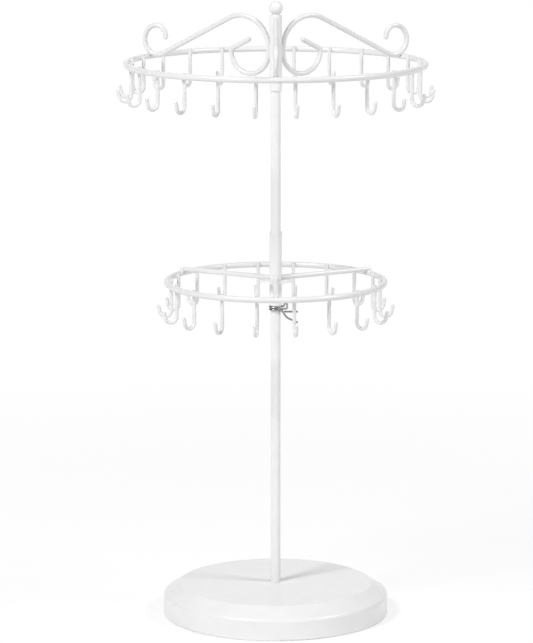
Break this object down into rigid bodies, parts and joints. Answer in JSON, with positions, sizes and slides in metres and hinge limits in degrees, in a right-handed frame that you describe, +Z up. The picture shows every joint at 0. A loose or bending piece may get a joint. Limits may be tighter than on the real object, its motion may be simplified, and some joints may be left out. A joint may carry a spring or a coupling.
{
  "type": "necklace holder",
  "caption": "Standing necklace holder: round weighted base, slim pole and two turning wire rings with hooks, one larger on scrolled arms, one smaller on a height clip.",
  "frame": {"origin": "middle of the base's underside, on the table", "axes": "+Z up the pole; the front of the stand faces -Y"},
  "size_m": [0.253, 0.253, 0.5],
  "materials": {
    "powder_coat": "glossy white powder coat on steel",
    "spring_wire": "bright nickel-plated spring wire",
    "plated_steel": "zinc-plated steel",
    "iron": "rough black cast iron",
    "foam_pad": "black closed-cell foam sheet",
    "cap_plastic": "natural nylon"
  },
  "bodies": {
    "stand": {"base_shell": "powder_coat", "base_pad": "foam_pad", "bottom_plate": "plated_steel", "ballast_disc": "iron", "clamp_washer": "plated_steel", "lock_washer": "plated_steel", "pole_screw": "plated_steel", "pole_foot_insert": "plated_steel", "lower_pole": "powder_coat", "lower_joint_insert": "plated_steel", "joint_stud": "plated_steel", "upper_joint_insert": "plated_steel", "upper_pole": "powder_coat", "pole_top_cap": "cap_plastic"},
    "clip": {"spring_clip": "spring_wire"},
    "lower_tier": {"lower_sleeve": "powder_coat", "sleeve_flange": "powder_coat", "lower_ring": "powder_coat", "lower_spoke_front": "powder_coat", "lower_spoke_right": "powder_coat", "lower_spoke_left": "powder_coat", "lower_hooks_01": "powder_coat", "lower_hooks_02": "powder_coat", "lower_hooks_03": "powder_coat", "lower_hooks_04": "powder_coat", "lower_hooks_05": "powder_coat", "lower_hooks_06": "powder_coat", "lower_hooks_07": "powder_coat", "lower_hooks_08": "powder_coat", "lower_hooks_09": "powder_coat"},
    "upper_tier": {"upper_hub": "powder_coat", "hub_plug": "plated_steel", "finial": "powder_coat", "upper_ring": "powder_coat", "scroll_front": "powder_coat", "scroll_right": "powder_coat", "scroll_left": "powder_coat", "upper_hooks_01": "powder_coat", "upper_hooks_02": "powder_coat", "upper_hooks_03": "powder_coat", "upper_hooks_04": "powder_coat", "upper_hooks_05": "powder_coat", "upper_hooks_06": "powder_coat", "upper_hooks_07": "powder_coat", "upper_hooks_08": "powder_coat", "upper_hooks_09": "powder_coat", "upper_hooks_10": "powder_coat", "upper_hooks_11": "powder_coat", "upper_hooks_12": "powder_coat"}
  },
  "joints": [
    {"name": "clip_slide", "type": "slide", "parent": "stand", "child": "clip", "axis": [0, 0, 1], "range_m": [-0.205, 0.11]},
    {"name": "lower_tier_spin", "type": "hinge", "parent": "clip", "child": "lower_tier", "pos_m": [0, 0, 0.2549], "axis": [0, 0, 1], "continuous": true},
    {"name": "upper_tier_spin", "type": "hinge", "parent": "stand", "child": "upper_tier", "pos_m": [0, 0, 0.4826], "axis": [0, 0, 1], "continuous": true}
  ]
}
